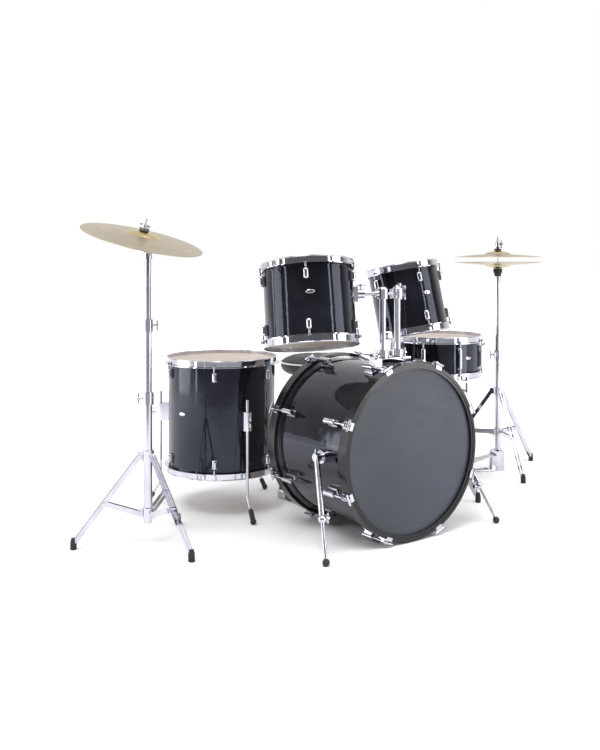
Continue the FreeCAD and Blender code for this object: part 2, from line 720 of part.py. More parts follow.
def tilter():
    """The second disc with the cymbal rod, made upright about the pivot and then leaned."""
    disc = rod(17, "crash_offset - 24", place(y=5.7, roll=-90))
    hub = rod(9, 20, place(y=-4, roll=-90))
    neck = rod(7, "crash_rod_length - 16")
    post = rod(4, ROD_TOP)
    rest = rod(8, 5.4, place(z="crash_rod_length - 16.2"))
    return join([disc, hub, neck, post, rest], LEAN)


def felt(level, thick):
    return band(17, 6.4, thick, place(z=level))


def dished_cymbal(diameter, thick, bell_radius, bell_rise, bow_rise, where):
    """A cymbal turned about Z: flat rim level at Z = 0, bow and bell above it, with a centre hole."""
    outer = [(f"{diameter} / 2", 0), (f"{diameter} / 2 * 0.62", f"{bow_rise} * 0.62"),
             (bell_radius, bow_rise), (f"{bell_radius} * 0.72", f"{bow_rise} + {bell_rise} * 0.62"),
             (f"{bell_radius} * 0.35", f"{bow_rise} + {bell_rise} * 0.95"), (6.2, f"{bow_rise} + {bell_rise}")]
    points = outer + [(radius, f"{level} + {thick}") for radius, level in reversed(outer)]
    body = doc.addObject("PartDesign::Body", "Body")
    sketch = body.newObject("Sketcher::SketchObject", "Profile")
    plane = next(face for face in body.Origin.OriginFeatures if face.Role == "XZ_Plane")
    sketch.AttachmentSupport = [(plane, "")]
    sketch.MapMode = "FlatFace"
    corners = [FreeCAD.Vector(number(a), number(b), 0) for a, b in points]
    for index, corner in enumerate(corners):
        sketch.addGeometry(Part.LineSegment(corner, corners[(index + 1) % len(corners)]), False)
    for index in range(len(corners)):
        sketch.addConstraint(Sketcher.Constraint("Coincident", index, 2, (index + 1) % len(corners), 1))
    for index, (radius, level) in enumerate(points):
        for kind, text in (("DistanceX", radius), ("DistanceY", level)):
            if number(text) == 0:
                sketch.addConstraint(Sketcher.Constraint("PointOnObject", index, 1, -1))
                continue
            sketch.addConstraint(Sketcher.Constraint(kind, -1, 1, index, 1, number(text)))
            sketch.setExpression(f"Constraints[{sketch.ConstraintCount - 1}]", formula(text))
    turned = body.newObject("PartDesign::Revolution", "Turned")
    turned.Profile = sketch
    turned.ReferenceAxis = (sketch, ["V_Axis"])
    turned.Angle = 360
    body.Tip = turned
    body.setExpression("Placement", where)
    return body


BELL_RISE = 14
BOW_RISE = 15
CRASH_BACK = BELL_RISE + BOW_RISE
node("crash_tilter", tilter())
node("crash_felts", group([felt("crash_rod_length - 10", 9), felt("crash_rod_length + 1.9", 9)], LEAN))
cymbal_base = group([dished_cymbal("crash_diameter", "cymbal_thick", 52, BELL_RISE, BOW_RISE,
                                   place(z=f"crash_rod_length - {CRASH_BACK}"))])
node("crash_cymbal", group([cymbal_base], LEAN))
nut = join([rod(9, 12), rod(3.2, 40, place(x=-20, z=9, pitch=90))])
node("crash_wing_nut", cut(group([nut], place(z="crash_rod_length + 11.7")), rod(4.08, 60, place(z="crash_rod_length")), LEAN))


# Hi-hat stand. Its pedal points along the local +X axis.

HAT = place("hihat_x", "hihat_y", 0)
hat_steel, hat_feet = tripod("hihat_x", "hihat_y", "hihat_first_angle", "hihat_leg_reach", 352, 168, LARGE)
hat_low = tube(LARGE, "tube_wall", "528 - 96", place(z=96))
hat_collar = tube_collar(0, 0, 528, LARGE, 143)
HAT_HEEL = 262
HAT_PLATE = 254
HAT_LEAN = 12


def heel_block(back, width, gap):
    """The pedal's heel at X = back: two ears with the hinge pin between them."""
    ears = cut(part("Box", place(f"{back} - 12", f"-({width}) / 2"), Length=50, Width=width, Height=27),
               part("Box", place(f"{back} - 30", f"-({gap}) / 2", 8), Length=42, Width=gap, Height=30))
    return join([ears, rod("hinge_pin / 2", width, place(back, f"({width}) / 2", 18, roll=90))])


def hat_frame():
    """Socket, two uprights with the plate's toe between them, and rods back to the heel."""
    uprights = [part("Box", place(-14, f"{side} * 30 - 4"), Length=38, Width=8, Height=80) for side in (-1, 1)]
    shelf = part("Box", place(-14, -34, 80), Length=38, Width=68, Height=8)
    base = part("Box", place(-14, -34), Length=60, Width=68, Height=4)
    radius_rods = [rod(3.5, 216, place(40, 22 * side, 3.5, pitch=90)) for side in (-1, 1)]
    made = join([rod(17, 8, place(z=88)), shelf, base, heel_block(HAT_HEEL, 72, 60)] + uprights + radius_rods)
    return cut(made, rod("pull_rod / 2 + 1.5", 60, place(z=60)))


hat_pedal_place = place("hihat_x", "hihat_y", 0, yaw="hihat_pedal_turn")
node("hihat_tripod", group([hat_steel, group([hat_low, hat_collar], HAT)]))
node("hihat_pedal_frame", group([hat_frame()], hat_pedal_place))
hat_upper = tube(MIDDLE, "tube_wall + 1", "hihat_seat_height - 9.2 - 360", place(z=360))
hat_cup = cut(join([cone(13, 21, 26, place(z="hihat_seat_height - 26")), rod(14.5, 30, place(z="hihat_seat_height - 50"))]),
              [rod(f"{MIDDLE} + 0.05", 44.2, place(z="hihat_seat_height - 50 - 3")),
               rod("pull_rod / 2 + sliding_gap", 90, place(z="hihat_seat_height - 60"))])
hat_felt = band(19, 6.4, 7, place(z="hihat_seat_height + 0.3"))
node("hihat_upper_tube", group([hat_upper, hat_cup, hat_felt], HAT))
HAT_RISE = 11
HAT_BELL = 16
hat_bottom_z = "hihat_seat_height + 8"
node("hihat_bottom_cymbal", group([copy_at(dished_cymbal("hihat_diameter", "cymbal_thick", 58, HAT_BELL, HAT_RISE, place()),
                                           place(z=f"{hat_bottom_z} + {HAT_RISE + HAT_BELL} + cymbal_thick", roll=180))], HAT))
hat_rim = f"{hat_bottom_z} + {HAT_RISE + HAT_BELL} + cymbal_thick"
hat_top_z = f"{hat_rim} + hihat_open"
node("hihat_top_cymbal", dished_cymbal("hihat_diameter", "cymbal_thick", 58, HAT_BELL, HAT_RISE,
                                       place("hihat_x", "hihat_y", hat_top_z)))
hat_fork = part("Box", place(-6, -5, 76), Length=12, Width=10, Height=4)
node("hihat_pull_rod", join([rod("pull_rod / 2", "hihat_rod_top - 76", place(z=76)), hat_fork], HAT))
clutch_z = f"{hat_top_z} + {HAT_RISE + HAT_BELL} + cymbal_thick"
clutch_parts = join([rod(5.9, 74, place(z=f"{clutch_z} - 22")), rod(11, 6, place(z=f"{clutch_z} - 22")),
                     rod(11, 14, place(z=f"{clutch_z} + 22")),
                     wing_screw(place(x=8, z=f"{clutch_z} + 30", pitch=90))])
clutch_felts = [band(15.5, 6.2, 9, place(z=f"{clutch_z} + 0.3")),
                band(14, 6.2, 8, place(z=f"{clutch_z} - 10.2"))]
node("hihat_clutch", group([cut(clutch_parts, rod("pull_rod / 2 + 0.05", 120, place(z=f"{clutch_z} - 40")))] + clutch_felts, HAT))


def foot_plate(length, width, toe_width):
    """A tapered pedal plate along -X from its hinge at X = 0, with a lip at the toe and ribs for grip."""
    plate = cut(part("Box", place(f"-({length})", f"-({width}) / 2", -3), Length=length, Width=width, Height=5),
                [part("Box", place(f"-({length}) - 1", f"{side} * ({width} + {toe_width}) / 2 - {width} / 2", -10, yaw=0),
                      Length=f"{length} * 0.3", Width=width, Height=20) for side in (-1, 1)])
    hinge = rod("hinge_pin / 2 + 2.5", width, place(y=f"{width} / 2", roll=90))
    ribs = [part("Box", place(-length * share, f"-({toe_width}) / 2 + 4", 2), Length=6, Width=f"{toe_width} - 8", Height=1.6)
            for share in (0.22, 0.34, 0.46, 0.58, 0.7, 0.82, 0.94)]
    return cut(join([plate, hinge] + ribs), rod("hinge_pin / 2 + sliding_gap", 200, place(y=100, roll=90)))


hat_plate = group([foot_plate(HAT_PLATE, 58, 44)], place(HAT_HEEL, 0, 18, pitch=HAT_LEAN))
node("hihat_footboard", group([hat_plate], hat_pedal_place))


# Snare stand with its basket.

snare_steel, snare_feet = tripod("snare_x", "snare_y", "snare_first_angle", "snare_leg_reach", 256, 96, LARGE)
BASKET_Z = "snare_bottom - 62"
stand_low = tube(LARGE, "tube_wall", "332 - 66", place("snare_x", "snare_y", 66))
node("snare_stand_tripod", group([snare_steel, stand_low, tube_collar("snare_x", "snare_y", 332, LARGE, 50)]))
TILT_HUB = 14


def stand_head():
    """The upper tube, capped by a yoke with a pin along X for the basket's hub."""
    upright = tube(MIDDLE, "tube_wall", f"{BASKET_Z} - 22 - 180", place(z=180))
    cap = rod(f"{MIDDLE} + 2", 7.2, place(z=f"{BASKET_Z} - 22"))
    floor = block(49, 16, 4, place(z=f"{BASKET_Z} - 20"))
    ears = [block(6, 16, 28, place(x=21.5 * side, z=f"{BASKET_Z} - 20")) for side in (-1, 1)]
    pin = rod("hinge_pin / 2", 49, place(x=-24.5, z=BASKET_Z, pitch=90))
    return join([upright, cap, floor, pin] + ears, place("snare_x", "snare_y", 0))


node("snare_stand_upper_tube", stand_head())


def basket():
    """A hub on the pin with a plate above it and three arms that rise to grip the bottom hoop."""
    hub = rod(TILT_HUB, 36.4, place(x=-18.2, z=BASKET_Z, pitch=90))
    top = rod(24, 14, place(z=f"{BASKET_Z} + 11"))
    grip = "snare_diameter / 2 + hoop_clearance + hoop_wall + hoop_flange + 7"
    arm_z = f"{BASKET_Z} + 18"
    arm = strut([15, 0, arm_z], [grip, 0, arm_z], 6)
    riser = rod(6, f"snare_bottom + 13 - ({arm_z})", place(grip, 0, arm_z))
    elbow = ball(6, place(grip, 0, arm_z))
    rest = part("Box", place(f"{grip} - 22", -9, "snare_bottom - hoop_wall - 6.3"), Length=27, Width=18, Height=6)
    made = join([hub, top, around(join([arm, riser, elbow, rest]), 3, 22)])
    bore = rod("hinge_pin / 2 + sliding_gap", 40, place(x=-20, z=BASKET_Z, pitch=90))
    return cut(made, bore, place("snare_x", "snare_y", 0))


node("snare_basket", basket())


# Bass drum pedal.

AXLE_Y = "pedal_axle_y"
AXLE_Z = "pedal_axle_height"
HEEL_Y = "pedal_length - 12"
PLATE_LEAN = 13
CAM = 22
STRAP = 8
STRAP_TAIL = 16


def pedal_frame():
    plate = block("pedal_width", "pedal_length + 14", 4, place(0, "pedal_length / 2 - 7"))
    jaw = part("Box", place(-16, -9, 4), Length=32, Width=50, Height=0.4)
    posts = [part("Box", place(f"{side} * (pedal_width / 2 - 7) - 6", "pedal_axle_y - 9", 4),
                  Length=12, Width=18, Height="pedal_axle_height + 8") for side in (-1, 1)]
    foot_ties = part("Box", place("-pedal_width / 2", "pedal_axle_y - 14", 4), Length="pedal_width", Width=28, Height=8)
    heel = group([heel_block(0, "pedal_width - 8", 62)], place(0, HEEL_Y, yaw=90))
    bores = rod(4.08, 200, place(-100, AXLE_Y, AXLE_Z, pitch=90))
    clamp = part("Box", place(-14, 3, 4), Length=28, Width=14, Height=44)
    clamp_lip = part("Box", place(-14, -10, "bass_floor_gap + bass_hoop_gap + bass_hoop_thick + 1.5"),
                     Length=28, Width=14, Height=6)
    return cut(join([plate, jaw, foot_ties, heel, clamp, clamp_lip] + posts), bores)


def beater():
    """The axle with its cam, shaft and felt, made upright about the axle and leaned back."""
    axle = rod(4, "pedal_width + 16", place(x="-pedal_width / 2 - 8", pitch=90))
    cam = rod(CAM, 10, place(x=-5, pitch=90))
    shaft = rod(3.5, "beater_length + 44", place(z=-24))
    hub = ball(11)
    strap_end = part("Box", place(-STRAP / 2, CAM - 2, -STRAP_TAIL), Length=STRAP, Width=4, Height=STRAP_TAIL)
    metal = join([axle, cam, shaft, hub, group([strap_end], place(roll="beater_rest_lean"))])
    felt_head = rod(25, 40, place(y=20, z="beater_length", roll=90))
    return metal, cut(felt_head, rod(3.55, 200, place(z=-30)))


BEATER = place(0, AXLE_Y, AXLE_Z, roll="-beater_rest_lean")
beater_metal, beater_felt = beater()
node("bass_pedal_frame", pedal_frame())
pedal_plate = group([foot_plate(205, 59, 50)], place(0, HEEL_Y, 18, yaw=90, pitch=PLATE_LEAN))
strap_length, strap_line = aim([0, f"{HEEL_Y} - 196", 61], [0, f"{AXLE_Y} + 26.2", f"{AXLE_Z} - 18"])
strap = block(3, STRAP, strap_length, strap_line)
node("bass_pedal_footboard", join([pedal_plate, strap]))
node("bass_pedal_beater", group([beater_metal, beater_felt], BEATER))


# Throne.

throne_steel, throne_feet = tripod("throne_x", "throne_y", "throne_first_angle", "throne_leg_reach", 276, 110, LARGE)
SEAT_LOW = "throne_top - throne_thick"
throne_low = tube(LARGE, "tube_wall", "350 - 78", place("throne_x", "throne_y", 78))
throne_post = rod(MIDDLE, f"{SEAT_LOW} - 14 - 230", place("throne_x", "throne_y", 230))
throne_collar = tube_collar("throne_x", "throne_y", 350, LARGE, 110)
node("throne_tripod", group([throne_steel, throne_low, throne_collar, throne_post]))
seat_round = 26
seat = join([rod("throne_diameter / 2", f"throne_thick - 2 * {seat_round}", place(z=f"{SEAT_LOW} + {seat_round}")),
             rod(f"throne_diameter / 2 - {seat_round}", "throne_thick", place(z=SEAT_LOW))]
            + [ring(f"throne_diameter / 2 - {seat_round}", seat_round, place(z=level))
               for level in (f"{SEAT_LOW} + {seat_round}", f"throne_top - {seat_round}")],
            place("throne_x", "throne_y", 0))
node("throne_seat", seat)
seat_plate = join([block(150, 110, 4, place(z=f"{SEAT_LOW} - 4.3")),
                   band(21, f"{MIDDLE} + 0.1", 60, place(z=f"{SEAT_LOW} - 64")),
                   rod(24, 9.4, place(z=f"{SEAT_LOW} - 13.7"))], place("throne_x", "throne_y", 0))
node("throne_seat_plate", seat_plate)
node("rubber_feet", group([crash_feet, hat_feet, snare_feet, throne_feet]))


# Every sub-part is checked before anything is written.

doc.recompute()
for item in doc.Objects:
    if "Invalid" in item.State or "Error" in item.State:
        raise RuntimeError(f"{item.Name} failed: {item.State}")
for name, item in NODES:
    if item.Shape.isNull() or not item.Shape.isValid():
        raise RuntimeError(f"{name} has no valid shape")

os.makedirs("parts", exist_ok=True)
for name, item in NODES:
    item.Shape.exportStep(f"parts/{name}.step")
    print(name, len(item.Shape.Solids), round(item.Shape.Volume / 1000, 1))
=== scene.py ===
import json
import math
import random

import bpy
import numpy as np
from mathutils import Matrix, Vector


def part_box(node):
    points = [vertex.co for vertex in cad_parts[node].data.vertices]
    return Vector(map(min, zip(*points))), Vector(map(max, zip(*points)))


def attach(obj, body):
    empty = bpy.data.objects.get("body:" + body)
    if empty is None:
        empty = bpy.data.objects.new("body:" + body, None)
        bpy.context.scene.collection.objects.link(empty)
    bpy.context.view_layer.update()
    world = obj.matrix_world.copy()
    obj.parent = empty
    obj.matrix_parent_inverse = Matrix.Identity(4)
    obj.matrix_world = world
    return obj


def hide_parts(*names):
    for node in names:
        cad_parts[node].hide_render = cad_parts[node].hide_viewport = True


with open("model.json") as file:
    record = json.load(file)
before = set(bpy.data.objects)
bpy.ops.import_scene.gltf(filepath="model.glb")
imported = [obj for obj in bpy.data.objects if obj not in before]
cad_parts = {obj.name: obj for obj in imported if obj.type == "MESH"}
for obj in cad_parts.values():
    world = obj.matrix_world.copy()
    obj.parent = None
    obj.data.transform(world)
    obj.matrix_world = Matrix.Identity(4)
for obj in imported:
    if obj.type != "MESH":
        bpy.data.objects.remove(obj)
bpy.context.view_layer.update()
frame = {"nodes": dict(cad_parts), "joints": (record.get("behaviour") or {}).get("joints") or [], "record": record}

NODES = frame["nodes"]
RECORD = frame["record"]
JOINTS = {joint["name"]: joint for joint in frame["joints"]}
BODY_OF = {node: body for body, nodes in RECORD["behaviour"]["bodies"].items() for node in nodes}
MM = 0.001


# Shader expressions. A Flow is one socket; arithmetic on it adds Math nodes.

class Flow:
    def __init__(self, finish, socket):
        self.finish = finish
        self.socket = socket

    def math(self, operation, first, second=0.0):
        return self.finish.node("Math", {"operation": operation}, {0: first, 1: second})

    def __add__(self, other):
        return self.math("ADD", self, other)

    def __sub__(self, other):
        return self.math("SUBTRACT", self, other)

    def __rsub__(self, other):
        return self.math("SUBTRACT", other, self)

    def __mul__(self, other):
        return self.math("MULTIPLY", self, other)

    __radd__ = __add__
    __rmul__ = __mul__

    def sine(self):
        return self.math("SINE", self)

    def most(self, other):
        return self.math("MAXIMUM", self, other)

    def ramp(self, low, high):
        """0 below low, 1 above high, smooth between them."""
        return self.finish.node("MapRange", {"interpolation_type": "SMOOTHSTEP"}, {0: self, 1: low, 2: high})


class Finish:
    """A node material, or the world, and the one method that adds its nodes."""

    def __init__(self, owner):
        self.owner = owner
        owner.use_nodes = True
        self.tree = owner.node_tree
        self.tree.nodes.clear()

    def node(self, kind, settings=None, sockets=None, out=0):
        made = self.tree.nodes.new("ShaderNode" + kind)
        for key, value in (settings or {}).items():
            setattr(made, key, value)
        for key, value in (sockets or {}).items():
            if isinstance(value, Flow):
                self.tree.links.new(value.socket, made.inputs[key])
            else:
                made.inputs[key].default_value = value
        return Flow(self, made.outputs[out]) if made.outputs else None

    def spot(self):
        return self.node("TexCoord", out="Object")

    def vector(self, operation, first, second=(0, 0, 0), out=0):
        return self.node("VectorMath", {"operation": operation}, {0: first, 1: second}, out)

    def stretched(self, x, y, z):
        return self.vector("MULTIPLY", self.spot(), (x, y, z))

    def height(self):
        return self.node("SeparateXYZ", sockets={0: self.spot()}, out=2)

    def noise(self, scale, detail=2.0, where=None, rough=0.5):
        return self.node("TexNoise", sockets={"Vector": where or self.spot(), "Scale": scale,
                                              "Detail": detail, "Roughness": rough}, out=0)

    def cells(self, scale, where=None, feature="F1"):
        return self.node("TexVoronoi", {"feature": feature},
                         {"Vector": where or self.spot(), "Scale": scale}, out="Distance")

    def tint(self, share, first, second):
        """A colour between two colours."""
        return self.node("Mix", {"data_type": "RGBA"}, {0: share, 6: first, 7: second}, out=2)

    def from_axis(self, point, axis):
        """How far the point on the piece is from a line."""
        arm = self.vector("SUBTRACT", self.spot(), tuple(point))
        across = self.vector("CROSS_PRODUCT", arm, tuple(axis))
        return self.vector("LENGTH", across, out="Value")

    def along_axis(self, point, axis):
        arm = self.vector("SUBTRACT", self.spot(), tuple(point))
        return self.vector("DOT_PRODUCT", arm, tuple(axis), out="Value")

    def surface(self, layer, **uniform):
        """The one shader of a material: a layer's colour, roughness, metal and relief."""
        bump = self.node("Bump", sockets={"Height": layer.relief, "Distance": layer.depth, "Strength": 1.0})
        shader = self.node("BsdfPrincipled", sockets={"Base Color": layer.colour, "Roughness": layer.roughness,
                                                      "Metallic": layer.metal, "Normal": bump, **uniform})
        self.node("OutputMaterial", sockets={"Surface": shader})
        return self.owner


class Layer:
    def __init__(self, colour, roughness, metal, relief, depth):
        self.colour = colour
        self.roughness = roughness
        self.metal = metal
        self.relief = relief
        self.depth = depth


def rgb(r, g, b):
    return (r, g, b, 1.0)


# Finishes. Each recipe gives one layer; two layers can share a node behind a mask.

def lacquer(f, dark=rgb(0.006, 0.006, 0.009), light=rgb(0.016, 0.016, 0.022)):
    """Gloss wrap: almost black, with a little flow in the film, haze and dust."""
    cloud = f.noise(7, 3)
    haze = f.noise(38, 4, rough=0.62)
    dust = f.cells(260).ramp(0.03, 0.012)
    colour = f.tint(cloud.ramp(0.35, 0.7) * 0.8 + dust * 0.2, dark, light)
    flow = f.noise(16, 1) + f.noise(140, 2) * 0.10
    return Layer(colour, 0.055 + haze.ramp(0.45, 0.8) * 0.05 + dust * 0.12, 0.0, flow, 0.0007)


def hoop_lacquer(f):
    """Gloss paint on a bent maple hoop: soft grain running round it and small rubs."""
    grain = f.noise(9, 4, f.stretched(2, 42, 2))
    rubs = f.noise(85, 3).ramp(0.62, 0.74)
    colour = f.tint(grain * 0.6 + rubs * 0.4, rgb(0.005, 0.005, 0.006), rgb(0.02, 0.02, 0.022))
    return Layer(colour, 0.08 + grain * 0.07 + rubs * 0.12, 0.0, grain + rubs * 0.2, 0.0004)


def satin_film(f):
    """Dark satin drum film with a fine tooth and long soft drifts of tone."""
    drift = f.noise(2.4, 3)
    tooth = f.noise(900, 2)
    wipe = f.noise(11, 5, f.stretched(1, 1, 3.5))
    colour = f.tint(drift.ramp(0.3, 0.75) * 0.7 + tooth * 0.3, rgb(0.020, 0.024, 0.036), rgb(0.042, 0.049, 0.072))
    return Layer(colour, 0.30 + wipe.ramp(0.4, 0.7) * 0.12 + tooth * 0.05, 0.0, tooth + wipe * 0.4, 0.00025)


def coated_film(f):
    """Sprayed coating on a drum head, worn a little where sticks land."""
    speck = f.noise(620, 3)
    wear = f.noise(5, 4).ramp(0.42, 0.7)
    colour = f.tint(wear * 0.55 + speck * 0.45, rgb(0.36, 0.30, 0.26), rgb(0.50, 0.43, 0.385))
    return Layer(colour, 0.42 + speck * 0.2 - wear * 0.08, 0.0, speck, 0.0004)


def chrome(f):
    """Polished plate with faint smears and a few dull freckles."""
    smear = f.noise(22, 4, f.stretched(1, 1, 0.3))
    freckle = f.cells(420).ramp(0.10, 0.03)
    colour = f.tint(smear.ramp(0.35, 0.75) * 0.7 + freckle * 0.3, rgb(0.62, 0.62, 0.68), rgb(0.44, 0.44, 0.50))
    return Layer(colour, 0.07 + smear.ramp(0.5, 0.85) * 0.10 + freckle * 0.12, 1.0, smear + freckle * 0.2, 0.00012)


def drawn_steel(f):
    """Bare steel wire or plate with fine draw marks."""
    marks = f.noise(240, 3, f.stretched(1, 1, 0.08))
    stain = f.noise(30, 4).ramp(0.5, 0.8)
    colour = f.tint(marks * 0.6 + stain * 0.4, rgb(0.56, 0.56, 0.58), rgb(0.38, 0.37, 0.37))
    return Layer(colour, 0.24 + marks * 0.16, 1.0, marks, 0.0002)


def cast_metal(f):
    """Tumbled aluminium casting with a pebbled skin and bright rubbed spots."""
    pebble = f.cells(520)
    rubbed = f.noise(26, 3).ramp(0.52, 0.72)
    colour = f.tint(pebble.ramp(0.1, 0.7) * 0.6 + rubbed * 0.4, rgb(0.48, 0.48, 0.50), rgb(0.70, 0.70, 0.72))
    return Layer(colour, 0.34 - rubbed * 0.12 + pebble * 0.1, 1.0, pebble, 0.0003)


def bronze(point, axis, reach):
    """Lathed bronze: turning marks round the axis, hammer dents and a plainer bell."""
    def recipe(f):
        radius = f.from_axis(point, axis)
        bell = radius.ramp(reach * 0.30, reach * 0.27)
        wander = f.noise(14, 2) * 0.0022
        rings = ((radius + wander) * (math.tau / 0.0031)).sine() * 0.5 + 0.5
        fine = ((radius + wander) * (math.tau / 0.0009)).sine() * 0.5 + 0.5
        bands = f.noise(1, 3, f.node("CombineXYZ", sockets={0: radius * 70}))
        dents = f.cells(34).ramp(0.05, 0.55)
        patina = f.noise(9, 5, rough=0.6)
        tone = bands.ramp(0.3, 0.7) * 0.45 + rings * 0.2 * (1 - bell) + patina.ramp(0.4, 0.75) * 0.35
        plain = f.tint(tone, rgb(0.42, 0.36, 0.27), rgb(0.56, 0.49, 0.37))
        colour = f.tint(bell * 0.75, plain, rgb(0.62, 0.48, 0.24))
        relief = (rings * 0.5 + fine * 0.2) * (1 - bell * 0.85) + dents * 0.7
        return Layer(colour, 0.30 + patina * 0.12 - bell * 0.10 + fine * 0.04, 1.0, relief, 0.0002)
    return recipe


def wool(light, dark):
    """Pressed felt: tangled fibres in two tones."""
    def recipe(f):
        fibre = f.noise(520, 4, rough=0.7)
        matted = f.noise(70, 3)
        colour = f.tint(fibre.ramp(0.3, 0.7) * 0.7 + matted * 0.3, dark, light)
        return Layer(colour, 0.92 + fibre * 0.05, 0.0, fibre + matted, 0.0009)
    return recipe


def vinyl(f):
    """Embossed upholstery vinyl: small irregular cells and creases, with a painted sheen, a lighter colour, on the
    high spots.
    """
    grain = f.cells(430, feature="SMOOTH_F1")
    crease = f.noise(60, 5, rough=0.65)
    high = grain.ramp(0.0, 0.55)
    # Painted sheen: the high spots of the grain take the lighter colour.
    colour = f.tint(high * 0.5 + crease * 0.5, rgb(0.008, 0.008, 0.009), rgb(0.026, 0.026, 0.028))
    return Layer(colour, 0.38 + high * 0.14 + crease * 0.08, 0.0, 1 - grain + crease * 0.6, 0.0006)


def piping_vinyl(f):
    grain = f.cells(600, feature="SMOOTH_F1")
    soil = f.noise(90, 4).ramp(0.45, 0.8)
    colour = f.tint(soil * 0.6 + grain * 0.4, rgb(0.66, 0.65, 0.63), rgb(0.44, 0.43, 0.42))
    return Layer(colour, 0.40 + grain * 0.15, 0.0, grain, 0.0004)


def satin_paint(f):
    peel = f.noise(300, 3)
    chips = f.noise(46, 5).ramp(0.70, 0.76)
    colour = f.tint(chips * 0.7 + peel * 0.3, rgb(0.010, 0.010, 0.011), rgb(0.045, 0.044, 0.044))
    return Layer(colour, 0.36 + peel * 0.12 + chips * 0.1, 0.0, peel, 0.0003)


def rubber(f):
    """Moulded rubber: dull skin, fine pits and pale scuffs."""
    pits = f.cells(700)
    scuff = f.noise(75, 5, rough=0.7).ramp(0.58, 0.78)
    colour = f.tint(scuff * 0.75 + pits * 0.25, rgb(0.008, 0.008, 0.009), rgb(0.045, 0.043, 0.042))
    return Layer(colour, 0.62 + scuff * 0.2, 0.0, pits + scuff * 0.3, 0.0004)


def masked(under, over, where):
    """Two recipes on one node, the second where the mask is 1."""
    def recipe(f):
        a = under(f)
        b = over(f)
        share = where(f)
        colour = f.tint(share, a.colour, b.colour)
        rough = a.roughness * (1 - share) + b.roughness * share
        metal = share * (b.metal - a.metal) + a.metal
        relief = a.relief * (a.depth / b.depth) * (1 - share) + b.relief * share
        return Layer(colour, rough, metal, relief, b.depth)
    return recipe


def finish(name, recipe, **uniform):
    f = Finish(bpy.data.materials.new(name))
    return f.surface(recipe(f), **uniform)


def dress(node, material):
    """Gives a kept CAD node its material."""
    slots = NODES[node].material_slots
    for index in range(len(slots)):
        slots[index].material = material


# Shapes.

def upright(axis):
    """The turn that carries Z onto an axis."""
    return Vector((0, 0, 1)).rotation_difference(Vector(axis).normalized()).to_matrix().to_4x4()


def add_piece(name, verts, faces, body, slot, material, smooth_below=math.radians(38)):
    mesh = bpy.data.meshes.new(name)
    mesh.from_pydata(verts, [], faces)
    mesh.validate()
    mesh.shade_smooth()
    mesh.set_sharp_from_angle(angle=smooth_below)
    piece = bpy.data.objects.new(name, mesh)
    bpy.context.scene.collection.objects.link(piece)
    piece.data.materials.append(material)
    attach(piece, body)
    return piece


def turned(profile, centre, axis, steps):
    """The points and faces of a closed profile of (radius, level) turned about an axis."""
    frame_to = Matrix.Translation(Vector(centre)) @ upright(axis)
    rows = len(profile)
    verts = [frame_to @ Vector((r * math.cos(a), r * math.sin(a), z))
             for a in (math.tau * step / steps for step in range(steps)) for r, z in profile]
    faces = [(step * rows + i, (step + 1) % steps * rows + i,
              (step + 1) % steps * rows + (i + 1) % rows, step * rows + (i + 1) % rows)
             for step in range(steps) for i in range(rows)]
    return verts, faces


def merged(parts):
    verts = []
    faces = []
    for more_verts, more_faces in parts:
        base = len(verts)
        verts.extend(more_verts)
        faces.extend(tuple(base + i for i in face) for face in more_faces)
    return verts, faces


def vertices_of(node):
    mesh = NODES[node].data
    flat = np.empty(len(mesh.vertices) * 3)
    mesh.vertices.foreach_get("co", flat)
    return flat.reshape(-1, 3)


def drum_of(node):
    """A shell's centre, its axis, its radius and half its length."""
    points = vertices_of(node)
    centre = (points.min(0) + points.max(0)) / 2
    spread = points - centre
    turns, vectors = np.linalg.eigh(spread.T @ spread)
    middle = turns[1]
    axis = vectors[:, 0] if abs(turns[0] - middle) > abs(turns[2] - middle) else vectors[:, 2]
    along = spread @ axis
    out = np.linalg.norm(spread - np.outer(along, axis), axis=1)
    return Vector(centre), Vector(axis), float(out.max()), float(abs(along).max())


# Cymbals: one turned sheet each, with its bell, bow and turning grooves.

CYMBAL_STEPS = 168
GROOVE_PITCH = 5.2 * MM
GROOVE_DEPTH = 0.11 * MM


def cymbal_profile(reach, bell_reach, bow, bell, thick, bore):
    """(radius, level) round a cymbal's section; the rim's underside is level 0."""
    radii = np.linspace(bore, reach, 150)
    out = np.clip((radii - bell_reach) / (reach - bell_reach), 0, 1)
    level = bow * (1 - out ** 1.35)
    inside = np.clip(1 - (radii / bell_reach) ** 2, 0, 1)
    level = level + bell * inside ** 0.62
    soft = np.convolve(np.pad(level, 3, mode="edge"), np.ones(7) / 7, mode="valid")
    grooves = GROOVE_DEPTH * np.sin(radii * math.tau / GROOVE_PITCH) * (radii > bell_reach * 1.06)
    top = [(r, z + thick + g) for r, z, g in zip(radii, soft, grooves)]
    top[-1] = (reach - thick * 0.25, soft[-1] + thick)
    under = [(r, z) for r, z in zip(radii[::4], soft[::4])]
    return under + [(reach - thick * 0.25, soft[-1]), (reach, soft[-1] + thick / 2)] + top[::-1]


def cymbal(name, node, point, axis, reach, bell_reach, bow, bell):
    """point is the middle of the rim's underside; the bell rises along the axis."""
    profile = cymbal_profile(reach, bell_reach, bow, bell, 1.6 * MM, 6.2 * MM)
    skin = finish(name + "_bronze", bronze(point, axis, reach), **{"Specular IOR Level": 0.5})
    verts, faces = turned(profile, point, axis, CYMBAL_STEPS)
    piece = add_piece(name, verts, faces, BODY_OF[node], "bronze", skin, math.radians(50))
    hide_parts(node)
    return piece


